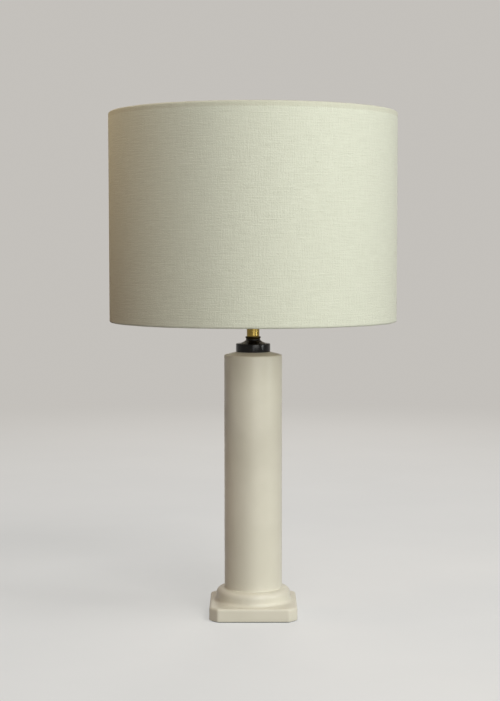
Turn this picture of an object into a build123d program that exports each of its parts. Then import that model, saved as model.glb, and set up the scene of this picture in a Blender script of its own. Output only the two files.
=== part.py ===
"""Column table lamp: ceramic column on a square plinth, brass lampholder and linen drum shade.

Millimetres. The origin is on the table under the middle of the plinth, +Z up, and the front faces -Y.
Every height is stacked from the table upwards, so a piece follows what it stands on.
"""

import os
from math import cos, degrees, hypot, radians, sin, sqrt

from build123d import *

os.makedirs("parts", exist_ok=True)

# ---------------------------------------------------------------- driving dimensions

# Clearances
slip_clearance = 0.3  # between pieces that move past each other
bore_clearance = 0.2  # a plain hole round the threaded rod or a spigot
thread_clearance = 0.1  # a threaded piece on its mate, with the thread itself left smooth
weld_gap = 0.1  # between welded wires and what they are welded to
glue_gap = 0.1  # between glued sheets

# Felt pad
felt_thickness = 1.0
felt_inset = 2.0

# Plinth
plinth_width = 107.0
plinth_height = 16.0
plinth_corner_cut = 10.0
plinth_corner_round = 4.5
plinth_edge_round = 3.0
foot_edge_round = 0.8
plinth_wall = 6.0
plinth_roof = 5.0

# Base moulding, shaft and crown
moulding_height = 17.0
moulding_rise = 9.0
moulding_setback = 0.3
cove_radius = 5.0
shaft_diameter = 70.8
shaft_height = 286.5
shaft_wall = 6.0
shoulder_round = 2.0
crown_rise = 3.9
crown_seat_diameter = 40.0

# Cap, collar and stem
cap_diameter = 42.0
cap_height = 10.1
cap_edge_round = 1.0
cap_cone_base_diameter = 26.8
cap_cone_top_diameter = 18.6
cap_cone_height = 4.0
cap_neck_height = 1.2
cap_spigot_diameter = 19.4
cap_spigot_length = 5.0
collar_diameter = 19.6
collar_height = 3.3
collar_edge_cut = 0.5
stem_diameter = 15.5
stem_wall = 1.0
stem_length = 13.0

# Threaded rod and the hardware under the column
rod_diameter = 10.0
rod_bore_diameter = 7.0
rod_tail = 1.5
clamp_plate_diameter = 80.0
clamp_plate_thickness = 2.0
washer_diameter = 24.0
washer_thickness = 1.5
nut_across_flats = 17.0
nut_height = 4.0

# Cable grommet in the back wall of the plinth
cord_entry_height = 7.2
grommet_bore_diameter = 6.2
grommet_barrel_diameter = 8.2
grommet_flange_diameter = 11.0
grommet_flange_thickness = 1.2
grommet_lip_diameter = 9.2
grommet_lip_length = 1.0

# Lampholder cup
cup_boss_diameter = 16.4
cup_boss_height = 5.0
cup_dome_height = 10.0
cup_rim_height = 8.0
cup_wall = 1.0
cup_ledge_width = 1.5
lock_nut_across_flats = 14.0
lock_nut_height = 3.0
rod_head = 1.0
grub_screw_diameter = 3.0
grub_screw_length = 2.8

# Lampholder skirt, insulator and contacts
skirt_diameter = 38.8
skirt_wall = 1.0
skirt_length = 37.0
skirt_lip_width = 2.0
insulator_flange_thickness = 3.0
insulator_floor_height = 13.0
insulator_socket_depth = 16.0
screw_shell_diameter = 27.6
screw_shell_wall = 0.4
screw_shell_height = 20.0
screw_shell_hole_diameter = 12.0
contact_width = 6.0
contact_length = 9.0
contact_rise = 1.1
contact_thickness = 0.4
terminal_circle_diameter = 25.0
terminal_screw_diameter = 3.0
terminal_screw_length = 6.0
terminal_head_diameter = 5.5
terminal_head_height = 2.2
terminal_count = 3
terminal_first_azimuth = 30.0

# Push-through switch
switch_height = 8.5
switch_bar_diameter = 4.0
switch_bar_length = 52.0
switch_travel = 5.0
switch_knob_diameter = 6.4
switch_knob_length = 5.0
switch_knob_socket = 3.0
switch_knob_edge_cut = 1.0

# Ring nuts that clamp the shade
ring_nut_diameter = 54.0
ring_nut_height = 4.0
ring_nut_seat = 13.0
ring_nut_edge_cut = 0.8
ring_nut_notches = 12
ring_nut_notch_diameter = 4.0

# Bulb
bulb_diameter = 60.0
bulb_length = 107.0
bulb_glass_wall = 0.8
bulb_neck_diameter = 25.0
bulb_neck_angle = 35.0
bulb_neck_insert = 5.0
bulb_base_diameter = 26.0
bulb_base_length = 20.0
bulb_base_wall = 0.3
bulb_base_shoulder = 1.6
bulb_insulator_height = 3.4
bulb_insulator_diameter = 22.0
bulb_tip_diameter = 9.0
bulb_tip_height = 1.5
bulb_tip_round = 1.2

# Shade
shade_diameter = 350.0
shade_height = 252.6
linen_thickness = 0.7
liner_thickness = 0.5
shade_wire_diameter = 3.2
shade_wire_sides = 8
hem_slack = 0.3
hem_tuck_gap = 0.4
seam_width = 9.0
seam_thickness = 0.6
seam_azimuth = 100.0

# Shade carrier
carrier_rise = 27.1
carrier_ring_diameter = 66.0
carrier_ring_thickness = 1.5
carrier_ring_clearance = 0.5
arm_count = 3
arm_wire_diameter = 3.0
arm_first_azimuth = 90.0
arm_flat_length = 30.0
arm_bend_radius = 14.0
arm_end_clearance = 1.2

# ---------------------------------------------------------------- heights, from the table up

plinth_bottom = felt_thickness
plinth_top = plinth_bottom + plinth_height
plinth_ceiling = plinth_top - plinth_roof
shaft_bottom = plinth_top + moulding_height
shaft_top = shaft_bottom + shaft_height
crown_top = shaft_top + crown_rise
cap_top = crown_top + cap_height
cap_neck_top = cap_top + cap_cone_height + cap_neck_height
collar_top = cap_neck_top + collar_height
stem_top = collar_top + stem_length

clamp_plate_bottom = plinth_ceiling - clamp_plate_thickness
washer_bottom = clamp_plate_bottom - washer_thickness
nut_bottom = washer_bottom - nut_height
rod_bottom = nut_bottom - rod_tail

cup_boss_top = stem_top + cup_boss_height
cup_floor = cup_boss_top + cup_wall
cup_ledge = cup_boss_top + cup_dome_height
cup_top = cup_ledge + cup_rim_height
rod_top = cup_floor + lock_nut_height + rod_head

skirt_bottom = cup_ledge + insulator_flange_thickness
skirt_top = skirt_bottom + skirt_length
socket_floor = skirt_bottom + insulator_floor_height
insulator_top = socket_floor + insulator_socket_depth
switch_axis = skirt_bottom + switch_height
lower_nut_bottom = skirt_bottom + ring_nut_seat
carrier_seat = lower_nut_bottom + ring_nut_height
carrier_top = carrier_seat + carrier_ring_thickness
upper_nut_bottom = carrier_top + thread_clearance

contact_top = socket_floor + contact_rise + contact_thickness
bulb_tip_bottom = contact_top + slip_clearance
bulb_insulator_bottom = bulb_tip_bottom + bulb_tip_height
bulb_base_bottom = bulb_insulator_bottom + bulb_insulator_height
bulb_base_top = bulb_base_bottom + bulb_base_length
bulb_globe_centre = bulb_tip_bottom + bulb_length - bulb_diameter / 2

# ---------------------------------------------------------------- radii shared by several pieces

rod_hole_radius = rod_diameter / 2 + bore_clearance
rod_thread_radius = rod_diameter / 2 + thread_clearance
shaft_radius = shaft_diameter / 2
skirt_radius = skirt_diameter / 2
skirt_inner_radius = skirt_radius - skirt_wall
cup_inner_radius = skirt_radius + thread_clearance
cup_radius = cup_inner_radius + cup_wall
insulator_radius = skirt_inner_radius - bore_clearance
switch_hole_radius = switch_bar_diameter / 2 + slip_clearance

shade_radius = shade_diameter / 2
wire_radius = shade_wire_diameter / 2
linen_inner_radius = shade_radius - linen_thickness
liner_radius = linen_inner_radius - glue_gap
liner_inner_radius = liner_radius - liner_thickness
wire_circle_radius = liner_inner_radius - hem_slack - wire_radius
hem_half_height = wire_radius + hem_slack
tuck_inner_radius = wire_circle_radius - wire_radius - hem_slack
tuck_radius = tuck_inner_radius - linen_thickness
hem_round = hem_half_height + linen_thickness - hem_slack
hem_inner_cut = hem_half_height * (2 - sqrt(2))
bottom_wire_height = carrier_seat - carrier_rise
shade_bottom = bottom_wire_height - hem_half_height - linen_thickness
shade_top = shade_bottom + shade_height
top_wire_height = shade_top - linen_thickness - hem_half_height
liner_bottom = bottom_wire_height - wire_radius
liner_top = top_wire_height + wire_radius

# ---------------------------------------------------------------- shared shapes


def plinth_outline(inset):
    """The plinth's square with its cut corners, drawn smaller by inset on every side."""
    width = plinth_width - 2 * inset
    corner_cut = plinth_corner_cut - inset * (2 - sqrt(2))
    with BuildSketch(mode=Mode.PRIVATE) as outline:
        Rectangle(width, width)
        chamfer(outline.vertices(), corner_cut)
    return outline.sketch


def tube(outer_radius, inner_radius, bottom, top):
    """A plain round tube standing on the height bottom."""
    with BuildPart() as shell:
        with BuildSketch(Plane.XY.offset(bottom)):
            Circle(outer_radius)
            Circle(inner_radius, mode=Mode.SUBTRACT)
        extrude(amount=top - bottom)
    return shell


def hex_nut(across_flats, bottom, height):
    """A hexagonal nut on the threaded rod."""
    with BuildPart() as nut:
        with BuildSketch(Plane.XY.offset(bottom)):
            RegularPolygon(across_flats / 2, 6, major_radius=False)
            Circle(rod_thread_radius, mode=Mode.SUBTRACT)
        extrude(amount=height)
    return nut


def ring_nut(bottom):
    """A flat ring nut on the skirt, chamfered and notched all round its rim for the fingers."""
    with BuildPart() as nut:
        with BuildSketch(Plane.XY.offset(bottom)):
            Circle(ring_nut_diameter / 2)
        extrude(amount=ring_nut_height)
        chamfer(nut.edges(), ring_nut_edge_cut)
        with BuildSketch(Plane.XY.offset(bottom)):
            Circle(skirt_radius + thread_clearance)
            with PolarLocations(ring_nut_diameter / 2, ring_nut_notches):
                Circle(ring_nut_notch_diameter / 2)
        extrude(amount=ring_nut_height, mode=Mode.SUBTRACT)
    return nut


def wire_ring(height):
    """A closed hoop of wire inside a hem of the shade, its round section drawn with flat sides."""
    with BuildPart() as hoop:
        with BuildSketch(Plane.XZ):
            with Locations((wire_circle_radius, height)):
                RegularPolygon(wire_radius, shade_wire_sides)
        revolve(axis=Axis.Z)
    return hoop


# ---------------------------------------------------------------- felt pad

with BuildPart() as felt_pad:
    with BuildSketch():
        add(plinth_outline(felt_inset))
    extrude(amount=felt_thickness)

# ---------------------------------------------------------------- ceramic column

moulding_foot_radius = plinth_width / 2 - plinth_edge_round - moulding_setback
moulding_radius = moulding_foot_radius - cove_radius
moulding_reach = moulding_radius - shaft_radius
cavity_radius = shaft_radius - shaft_wall
cavity_top = shaft_top - shaft_wall
crown_seat_radius = crown_seat_diameter / 2
spigot_hole_radius = cap_spigot_diameter / 2 + bore_clearance
grommet_hole_radius = grommet_barrel_diameter / 2 + thread_clearance

with BuildPart() as column_body:
    with BuildSketch(Plane.XY.offset(plinth_bottom)):
        add(plinth_outline(0))
    extrude(amount=plinth_height)
    fillet(column_body.edges().filter_by(Axis.Z), plinth_corner_round)
    fillet(column_body.faces().sort_by(Axis.Z)[-1].edges(), plinth_edge_round)
    fillet(column_body.faces().sort_by(Axis.Z)[0].edges(), foot_edge_round)
    with BuildSketch(Plane.XZ):
        with BuildLine():
            Line((0, plinth_ceiling), (moulding_foot_radius, plinth_ceiling))
            Line((moulding_foot_radius, plinth_ceiling), (moulding_foot_radius, plinth_top))
            CenterArc(
                (moulding_foot_radius, plinth_top + cove_radius), cove_radius, start_angle=180, arc_size=90
            )
            Line((moulding_radius, plinth_top + cove_radius), (moulding_radius, shaft_bottom - moulding_rise))
            EllipticalCenterArc(
                (shaft_radius, shaft_bottom - moulding_rise), moulding_reach, moulding_rise, arc_size=90
            )
            FilletPolyline(
                (shaft_radius, shaft_bottom),
                (shaft_radius, shaft_top),
                (crown_seat_radius, crown_top),
                radius=shoulder_round,
            )
            Line((crown_seat_radius, crown_top), (0, crown_top))
            Line((0, crown_top), (0, plinth_ceiling))
        make_face()
    revolve(axis=Axis.Z)
    # The casting is hollow and open underneath
    with BuildSketch(Plane.XY.offset(plinth_bottom)):
        add(plinth_outline(plinth_wall))
    extrude(amount=plinth_ceiling - plinth_bottom, mode=Mode.SUBTRACT)
    with BuildSketch(Plane.XY.offset(plinth_ceiling)):
        Circle(cavity_radius)
    extrude(amount=cavity_top - plinth_ceiling, mode=Mode.SUBTRACT)
    with BuildSketch(Plane.XY.offset(cavity_top)):
        Circle(spigot_hole_radius)
    extrude(amount=crown_top - cavity_top, mode=Mode.SUBTRACT)
    with BuildSketch(Plane.XZ.offset(-plinth_width / 2 + plinth_wall)):
        with Locations((0, cord_entry_height)):
            Circle(grommet_hole_radius)
    extrude(amount=-plinth_wall, mode=Mode.SUBTRACT)

# ---------------------------------------------------------------- hardware under the column

clamp_plate = tube(clamp_plate_diameter / 2, rod_hole_radius, clamp_plate_bottom, plinth_ceiling)
bottom_washer = tube(washer_diameter / 2, rod_hole_radius, washer_bottom, clamp_plate_bottom)
bottom_nut = hex_nut(nut_across_flats, nut_bottom, nut_height)
threaded_rod = tube(rod_diameter / 2, rod_bore_diameter / 2, rod_bottom, rod_top)

# ---------------------------------------------------------------- cable grommet

wall_outside = plinth_width / 2
wall_inside = wall_outside - plinth_wall
grommet_bore_radius = grommet_bore_diameter / 2
grommet_barrel_radius = grommet_barrel_diameter / 2

with BuildPart() as cable_grommet:
    with BuildSketch(Plane.YZ):
        with Locations((0, cord_entry_height)):
            Polygon(
                (wall_inside - grommet_lip_length, grommet_bore_radius),
                (wall_outside + grommet_flange_thickness, grommet_bore_radius),
                (wall_outside + grommet_flange_thickness, grommet_flange_diameter / 2),
                (wall_outside, grommet_flange_diameter / 2),
                (wall_outside, grommet_barrel_radius),
                (wall_inside, grommet_barrel_radius),
                (wall_inside, grommet_lip_diameter / 2),
                (wall_inside - grommet_lip_length, grommet_barrel_radius),
                align=None,
            )
    revolve(axis=Axis((0, 0, cord_entry_height), (0, 1, 0)))

# ---------------------------------------------------------------- cap, collar and stem

cap_radius = cap_diameter / 2

with BuildPart() as column_cap:
    with BuildSketch(Plane.XY.offset(crown_top)):
        Circle(cap_radius)
    extrude(amount=cap_height)
    fillet(column_cap.edges(), cap_edge_round)
    with BuildSketch(Plane.XZ):
        Polygon(
            (0, cap_top),
            (cap_cone_base_diameter / 2, cap_top),
            (cap_cone_top_diameter / 2, cap_top + cap_cone_height),
            (cap_cone_top_diameter / 2, cap_neck_top),
            (0, cap_neck_top),
            align=None,
        )
    revolve(axis=Axis.Z)
    with BuildSketch(Plane.XY.offset(crown_top)):
        Circle(cap_spigot_diameter / 2)
    extrude(amount=-cap_spigot_length)
    with BuildSketch(Plane.XY.offset(crown_top - cap_spigot_length)):
        Circle(rod_hole_radius)
    extrude(amount=cap_neck_top - crown_top + cap_spigot_length, mode=Mode.SUBTRACT)

with BuildPart() as stem_collar:
    with BuildSketch(Plane.XY.offset(cap_neck_top)):
        Circle(collar_diameter / 2)
    extrude(amount=collar_height)
    chamfer(stem_collar.edges(), collar_edge_cut)
    with BuildSketch(Plane.XY.offset(cap_neck_top)):
        Circle(rod_hole_radius)
    extrude(amount=collar_height, mode=Mode.SUBTRACT)

stem_radius = stem_diameter / 2
brass_stem = tube(stem_radius, stem_radius - stem_wall, collar_top, stem_top)

# ---------------------------------------------------------------- lampholder cup on the rod

cup_boss_radius = cup_boss_diameter / 2
ledge_inner_radius = cup_inner_radius - cup_ledge_width

with BuildPart() as holder_cup:
    with BuildSketch(Plane.XZ):
        with BuildLine():
            Polyline(
                (cup_boss_radius, cup_floor),
                (rod_thread_radius, cup_floor),
                (rod_thread_radius, stem_top),
                (cup_boss_radius, stem_top),
                (cup_boss_radius, cup_boss_top),
            )
            EllipticalCenterArc(
                (cup_boss_radius, cup_ledge), cup_radius - cup_boss_radius, cup_dome_height, -90, arc_size=90
            )
            Polyline(
                (cup_radius, cup_ledge),
                (cup_radius, cup_top),
                (cup_inner_radius, cup_top),
                (cup_inner_radius, cup_ledge),
                (ledge_inner_radius, cup_ledge),
            )
            EllipticalCenterArc(
                (cup_boss_radius, cup_ledge),
                ledge_inner_radius - cup_boss_radius,
                cup_dome_height - cup_wall,
                -90,
                arc_size=90,
            )
        make_face()
    revolve(axis=Axis.Z)
    with BuildSketch(Plane.XZ):
        with Locations((0, stem_top + cup_boss_height / 2)):
            Circle(grub_screw_diameter / 2 + thread_clearance)
    extrude(amount=-cup_boss_diameter, mode=Mode.SUBTRACT)

holder_lock_nut = hex_nut(lock_nut_across_flats, cup_floor, lock_nut_height)

with BuildPart() as holder_grub_screw:
    with BuildSketch(Plane.XZ.offset(-rod_thread_radius)):
        with Locations((0, stem_top + cup_boss_height / 2)):
            Circle(grub_screw_diameter / 2)
    extrude(amount=-grub_screw_length)

# ---------------------------------------------------------------- lampholder insulator and contacts

screw_shell_radius = screw_shell_diameter / 2

with BuildPart() as holder_insulator:
    with BuildSketch(Plane.XY.offset(cup_ledge)):
        Circle(cup_inner_radius - bore_clearance)
    extrude(amount=insulator_flange_thickness)
    with BuildSketch(Plane.XY.offset(skirt_bottom)):
        Circle(insulator_radius)
    extrude(amount=insulator_top - skirt_bottom)
    with BuildSketch(Plane.XY.offset(socket_floor)):
        Circle(screw_shell_radius + thread_clearance)
    extrude(amount=insulator_socket_depth, mode=Mode.SUBTRACT)
    with BuildSketch(Plane.YZ):
        with Locations((0, switch_axis)):
            Circle(switch_hole_radius)
    extrude(amount=skirt_diameter, both=True, mode=Mode.SUBTRACT)
    with BuildSketch(Plane.XY.offset(cup_ledge)):
        with PolarLocations(terminal_circle_diameter / 2, terminal_count, terminal_first_azimuth):
            Circle(terminal_screw_diameter / 2 + thread_clearance)
    extrude(amount=terminal_screw_length, mode=Mode.SUBTRACT)

with BuildPart() as terminal_screws:
    with BuildSketch(Plane.XY.offset(cup_ledge)):
        with PolarLocations(terminal_circle_diameter / 2, terminal_count, terminal_first_azimuth):
            Circle(terminal_screw_diameter / 2)
    extrude(amount=terminal_screw_length)
    with BuildSketch(Plane.XY.offset(cup_ledge)):
        with PolarLocations(terminal_circle_diameter / 2, terminal_count, terminal_first_azimuth):
            Circle(terminal_head_diameter / 2)
    extrude(amount=-terminal_head_height)

with BuildPart() as screw_shell:
    with BuildSketch(Plane.XY.offset(socket_floor)):
        Circle(screw_shell_radius)
    extrude(amount=screw_shell_height)
    with BuildSketch(Plane.XY.offset(socket_floor + screw_shell_wall)):
        Circle(screw_shell_radius - screw_shell_wall)
    extrude(amount=screw_shell_height, mode=Mode.SUBTRACT)
    with BuildSketch(Plane.XY.offset(socket_floor)):
        Circle(screw_shell_hole_diameter / 2)
    extrude(amount=screw_shell_wall, mode=Mode.SUBTRACT)

with BuildPart() as centre_contact:
    with BuildSketch(Plane.XZ):
        with BuildLine():
            ThreePointArc(
                (-contact_length / 2, socket_floor),
                (0, socket_floor + contact_rise),
                (contact_length / 2, socket_floor),
            )
            Line(
                (contact_length / 2, socket_floor),
                (contact_length / 2, socket_floor + contact_thickness),
            )
            ThreePointArc(
                (contact_length / 2, socket_floor + contact_thickness),
                (0, contact_top),
                (-contact_length / 2, socket_floor + contact_thickness),
            )
            Line(
                (-contact_length / 2, socket_floor + contact_thickness),
                (-contact_length / 2, socket_floor),
            )
        make_face()
    extrude(amount=contact_width / 2, both=True)

# ---------------------------------------------------------------- lampholder skirt and ring nuts

with BuildPart() as holder_skirt:
    with BuildSketch(Plane.XY.offset(skirt_bottom)):
        Circle(skirt_radius)
    extrude(amount=skirt_length)
    fillet(holder_skirt.edges().sort_by(Axis.Z)[-1], skirt_wall / 2)
    with BuildSketch(Plane.XY.offset(skirt_bottom)):
        Circle(skirt_inner_radius)
    extrude(amount=skirt_length - skirt_wall, mode=Mode.SUBTRACT)
    with BuildSketch(Plane.XY.offset(skirt_bottom)):
        Circle(skirt_inner_radius - skirt_lip_width)
    extrude(amount=skirt_length, mode=Mode.SUBTRACT)
    with BuildSketch(Plane.YZ):
        with Locations((0, switch_axis)):
            Circle(switch_hole_radius)
    extrude(amount=skirt_diameter, both=True, mode=Mode.SUBTRACT)

shade_ring_lower = ring_nut(lower_nut_bottom)
shade_ring_upper = ring_nut(upper_nut_bottom)

# ---------------------------------------------------------------- push-through switch, at its left stop

switch_centre = -switch_travel / 2
switch_half_length = switch_bar_length / 2

with BuildPart() as switch_bar:
    with BuildSketch(Plane.YZ.offset(switch_centre)):
        with Locations((0, switch_axis)):
            Circle(switch_bar_diameter / 2)
    extrude(amount=switch_half_length, both=True)

with BuildPart() as switch_knobs:
    for side in (-1, 1):
        knob_face = switch_centre + side * (switch_half_length - switch_knob_socket)
        with BuildSketch(Plane.YZ.offset(knob_face)):
            with Locations((0, switch_axis)):
                Circle(switch_knob_diameter / 2)
        extrude(amount=side * switch_knob_length)
        knob_rims = switch_knobs.edges().filter_by(GeomType.CIRCLE).sort_by(Axis.X)
        chamfer(knob_rims[-1] if side > 0 else knob_rims[0], switch_knob_edge_cut)
        with BuildSketch(Plane.YZ.offset(knob_face)):
            with Locations((0, switch_axis)):
                Circle(switch_bar_diameter / 2 + glue_gap)
        extrude(amount=side * switch_knob_socket, mode=Mode.SUBTRACT)

# ---------------------------------------------------------------- bulb

bulb_base_radius = bulb_base_diameter / 2
bulb_insulator_radius = bulb_insulator_diameter / 2
bulb_shoulder_top = bulb_base_bottom + bulb_base_shoulder
bulb_glass_bottom = bulb_base_top - bulb_neck_insert


def bulb_outline(inset):
    """Half outline of the bulb, set in by inset: a round globe on a neck that narrows to the base."""
    globe_radius = bulb_diameter / 2 - inset
    neck_radius = bulb_neck_diameter / 2 - inset
    slope = radians(bulb_neck_angle)
    join = (globe_radius * cos(slope), bulb_globe_centre - globe_radius * sin(slope))
    with BuildSketch(mode=Mode.PRIVATE) as outline:
        with BuildLine():
            Polyline((0, bulb_glass_bottom), (neck_radius, bulb_glass_bottom), (neck_radius, bulb_base_top))
            Spline((neck_radius, bulb_base_top), join, tangents=[(0, 1), (sin(slope), cos(slope))])
            CenterArc((0, bulb_globe_centre), globe_radius, -bulb_neck_angle, 90 + bulb_neck_angle)
            Line((0, bulb_globe_centre + globe_radius), (0, bulb_glass_bottom))
        make_face()
    return outline.sketch


with BuildPart() as bulb_glass:
    with BuildSketch(Plane.XZ):
        add(bulb_outline(0))
        add(bulb_outline(bulb_glass_wall), mode=Mode.SUBTRACT)
    revolve(axis=Axis.Z)

with BuildPart() as bulb_base:
    with BuildSketch(Plane.XZ):
        Polygon(
            (bulb_insulator_radius, bulb_base_bottom),
            (bulb_base_radius, bulb_shoulder_top),
            (bulb_base_radius, bulb_base_top),
            (bulb_base_radius - bulb_base_wall, bulb_base_top),
            (bulb_base_radius - bulb_base_wall, bulb_shoulder_top),
            (bulb_insulator_radius - bulb_base_wall, bulb_base_bottom),
            align=None,
        )
    revolve(axis=Axis.Z)

with BuildPart() as bulb_insulator:
    with BuildSketch(Plane.XZ):
        Polygon(
            (0, bulb_insulator_bottom),
            (bulb_tip_diameter / 2, bulb_insulator_bottom),
            (bulb_insulator_radius, bulb_base_bottom),
            (0, bulb_base_bottom),
            align=None,
        )
    revolve(axis=Axis.Z)

with BuildPart() as bulb_tip:
    with BuildSketch(Plane.XY.offset(bulb_tip_bottom)):
        Circle(bulb_tip_diameter / 2)
    extrude(amount=bulb_tip_height)
    fillet(bulb_tip.edges().sort_by(Axis.Z)[0], bulb_tip_round)

# ---------------------------------------------------------------- shade carrier

carrier_radius = carrier_ring_diameter / 2
arm_radius = arm_wire_diameter / 2
arm_height = carrier_top + weld_gap + arm_radius
arm_inner_end = ring_nut_diameter / 2 + arm_end_clearance
arm_bend = arm_inner_end + arm_flat_length
arm_run = wire_circle_radius - arm_bend
arm_drop = arm_height - bottom_wire_height
arm_slope_length = hypot(arm_run, arm_drop)
arm_start_gap = wire_radius + weld_gap
arm_direction = (-arm_run / arm_slope_length, arm_drop / arm_slope_length)
arm_outer_end = (
    wire_circle_radius + arm_start_gap * arm_direction[0],
    bottom_wire_height + arm_start_gap * arm_direction[1],
)
arm_azimuths = [arm_first_azimuth + 360 / arm_count * index for index in range(arm_count)]


def upright_plane(azimuth):
    """A plane through the lamp's axis: x runs outwards at the azimuth, y runs up."""
    angle = radians(azimuth)
    return Plane((0, 0, 0), x_dir=(cos(angle), sin(angle), 0), z_dir=(sin(angle), -cos(angle), 0))


carrier_ring = tube(
    carrier_radius, skirt_radius + carrier_ring_clearance, carrier_seat, carrier_top
)

with BuildPart() as carrier_arms:
    for azimuth in arm_azimuths:
        with BuildLine(upright_plane(azimuth)) as arm_line:
            FilletPolyline(
                arm_outer_end,
                (arm_bend, arm_height),
                (arm_inner_end, arm_height),
                radius=arm_bend_radius,
            )
        with BuildSketch(Plane(arm_line.line ^ 0)):
            Circle(arm_radius)
        sweep(path=arm_line.line)

shade_bottom_ring = wire_ring(bottom_wire_height)
shade_top_ring = wire_ring(top_wire_height)

# ---------------------------------------------------------------- linen and liner


def hem_section(wire_height, up):
    """The turned-over edge of the linen round a hoop, for the top hem (up = 1) or the bottom one (-1)."""
    inner_edge = wire_height + up * hem_half_height
    outer_edge = inner_edge + up * linen_thickness
    tuck_edge = wire_height - up * hem_half_height
    tuck_end = liner_inner_radius - hem_tuck_gap
    with BuildSketch(mode=Mode.PRIVATE) as section:
        Polygon(
            (shade_radius, wire_height),
            (shade_radius, outer_edge),
            (tuck_radius, outer_edge),
            (tuck_radius, tuck_edge - up * linen_thickness),
            (tuck_end, tuck_edge - up * linen_thickness),
            (tuck_end, tuck_edge),
            (tuck_inner_radius, tuck_edge),
            (tuck_inner_radius, inner_edge),
            (linen_inner_radius, inner_edge),
            (linen_inner_radius, wire_height),
            align=None,
        )
        corners = section.vertices()
        fillet(corners.filter_by(lambda corner: abs(corner.Y - outer_edge) < wire_radius / 4), hem_round)
        chamfer(corners.filter_by(lambda corner: abs(corner.Y - inner_edge) < wire_radius / 4), hem_inner_cut)
    return section.sketch


with BuildPart() as shade_linen:
    with BuildSketch(Plane.XZ):
        add(hem_section(top_wire_height, 1))
        add(hem_section(bottom_wire_height, -1))
        with Locations((linen_inner_radius, bottom_wire_height)):
            Rectangle(
                linen_thickness, top_wire_height - bottom_wire_height, align=(Align.MIN, Align.MIN)
            )
    revolve(axis=Axis.Z)
    # The overlap of the cloth's two ends stands proud as an upright seam
    with BuildSketch(upright_plane(seam_azimuth)):
        Polygon(
            (shade_radius - seam_thickness / 2, bottom_wire_height),
            (shade_radius + seam_thickness, bottom_wire_height),
            (shade_radius + seam_thickness, top_wire_height),
            (shade_radius - seam_thickness / 2, top_wire_height),
            align=None,
        )
    revolve(axis=Axis.Z, revolution_arc=degrees(seam_width / shade_radius))
    # The bottom hem is snipped where the arms come through
    for azimuth in arm_azimuths:
        arm_plane = upright_plane(azimuth)
        wire_centre = arm_plane.from_local_coords((wire_circle_radius, bottom_wire_height, 0))
        inwards = arm_plane.from_local_coords(arm_direction) - arm_plane.origin
        with BuildSketch(Plane(origin=wire_centre, z_dir=inwards)):
            Circle(arm_radius + slip_clearance)
        extrude(amount=hem_half_height + linen_thickness + arm_radius, mode=Mode.SUBTRACT)

shade_liner = tube(liner_radius, liner_inner_radius, liner_bottom, liner_top)

# ---------------------------------------------------------------- labels and files

pieces = {
    "felt_pad": felt_pad,
    "column_body": column_body,
    "clamp_plate": clamp_plate,
    "bottom_washer": bottom_washer,
    "bottom_nut": bottom_nut,
    "threaded_rod": threaded_rod,
    "cable_grommet": cable_grommet,
    "column_cap": column_cap,
    "stem_collar": stem_collar,
    "brass_stem": brass_stem,
    "holder_cup": holder_cup,
    "holder_lock_nut": holder_lock_nut,
    "holder_grub_screw": holder_grub_screw,
    "holder_insulator": holder_insulator,
    "terminal_screws": terminal_screws,
    "screw_shell": screw_shell,
    "centre_contact": centre_contact,
    "holder_skirt": holder_skirt,
    "shade_ring_lower": shade_ring_lower,
    "shade_ring_upper": shade_ring_upper,
    "switch_bar": switch_bar,
    "switch_knobs": switch_knobs,
    "bulb_glass": bulb_glass,
    "bulb_base": bulb_base,
    "bulb_insulator": bulb_insulator,
    "bulb_tip": bulb_tip,
    "carrier_ring": carrier_ring,
    "carrier_arms": carrier_arms,
    "shade_bottom_ring": shade_bottom_ring,
    "shade_top_ring": shade_top_ring,
    "shade_linen": shade_linen,
    "shade_liner": shade_liner,
}

for name, piece in pieces.items():
    piece.part.label = name
    export_step(piece.part, f"parts/{name}.step")
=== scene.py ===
"""Looks of the column table lamp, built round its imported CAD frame.

Metres, +Z up, and the front faces -Y. The visible pieces are detailed meshes that stand for their CAD
nodes. The grommet and the hardware inside the base, the holder and the bulb's foot keep their CAD meshes
and get materials.
"""

import random
from math import acos, atan2, ceil, cos, hypot, pi, radians, sin, sqrt, tan, tau

import bmesh
import bpy
import numpy as np
from mathutils import Matrix, Vector, noise


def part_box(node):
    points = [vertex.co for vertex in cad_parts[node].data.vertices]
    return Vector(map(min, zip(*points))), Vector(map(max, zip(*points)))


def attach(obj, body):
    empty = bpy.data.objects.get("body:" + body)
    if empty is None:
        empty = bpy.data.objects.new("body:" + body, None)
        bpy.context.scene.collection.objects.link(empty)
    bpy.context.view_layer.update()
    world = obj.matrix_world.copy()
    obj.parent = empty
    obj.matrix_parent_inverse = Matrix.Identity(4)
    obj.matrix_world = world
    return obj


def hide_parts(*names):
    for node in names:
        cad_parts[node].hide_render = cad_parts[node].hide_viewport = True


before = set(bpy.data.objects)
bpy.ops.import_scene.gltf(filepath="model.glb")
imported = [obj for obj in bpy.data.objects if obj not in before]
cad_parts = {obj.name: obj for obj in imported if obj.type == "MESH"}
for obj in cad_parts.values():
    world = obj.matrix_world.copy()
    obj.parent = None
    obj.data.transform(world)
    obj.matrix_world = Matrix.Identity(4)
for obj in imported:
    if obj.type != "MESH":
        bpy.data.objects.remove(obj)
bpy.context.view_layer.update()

MM = 0.001
UNTURNED = Matrix.Identity(4)
rng = random.Random(7)

# ---------------------------------------------------------------- sizes read from the frame


def low(node):
    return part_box(node)[0]


def high(node):
    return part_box(node)[1]


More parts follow.
